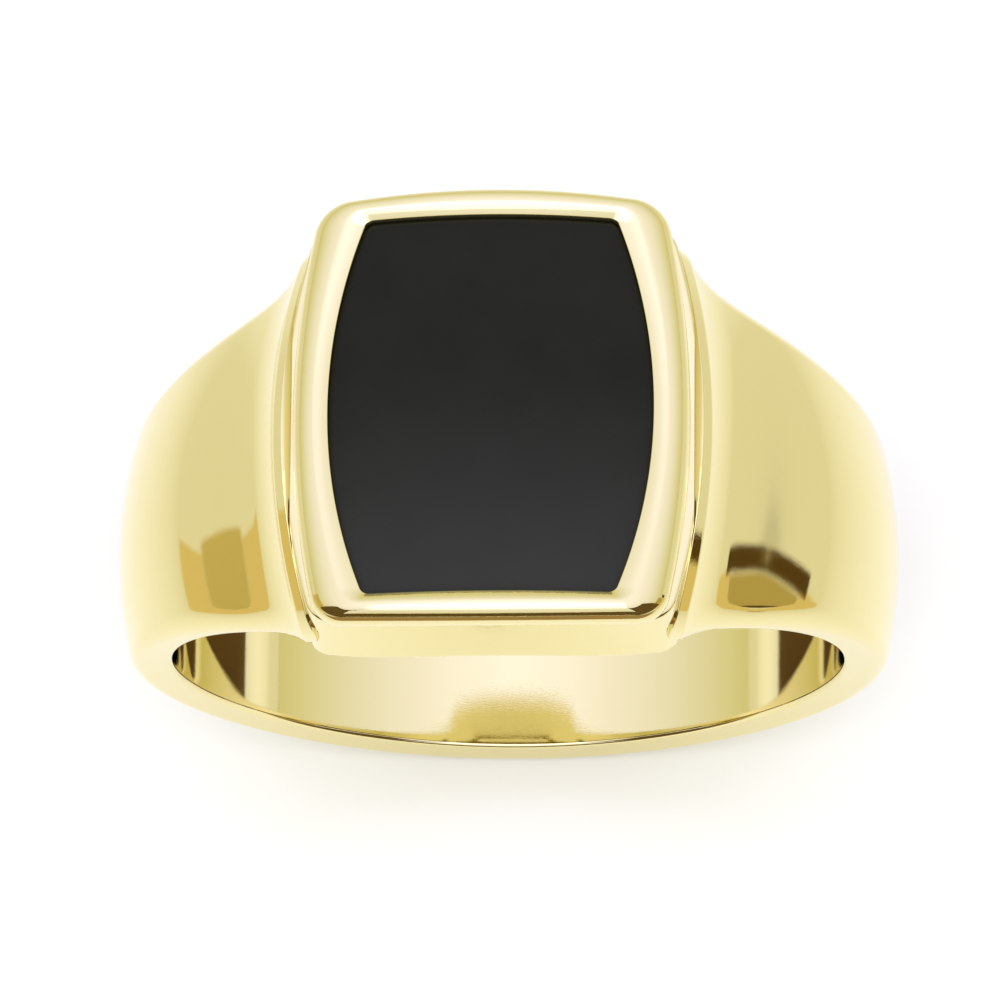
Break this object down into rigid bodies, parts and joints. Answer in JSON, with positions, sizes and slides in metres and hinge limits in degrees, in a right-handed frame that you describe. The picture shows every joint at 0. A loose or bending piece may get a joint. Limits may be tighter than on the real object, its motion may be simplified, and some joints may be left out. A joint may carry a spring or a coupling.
{
  "type": "signet ring",
  "caption": "Gold signet ring with a flared band, a barrel-shaped raised bezel and an inlaid black onyx tablet.",
  "frame": {"origin": "centre of the finger bore, midway between its two mouths", "axes": "+Y along the finger bore, +Z from the finger up through the middle of the onyx face, +X across the finger"},
  "size_m": [0.0232, 0.0134, 0.0245],
  "materials": {
    "gold": "mirror-polished 10 karat yellow gold",
    "epoxy": "cured black-filled jeweller's epoxy, hidden",
    "onyx": "polished black onyx"
  },
  "bodies": {
    "root": {"shank": "gold", "collar": "gold", "seat_plate": "gold", "bezel": "gold", "adhesive_bed": "epoxy", "onyx_tablet": "onyx"}
  },
  "joints": []
}
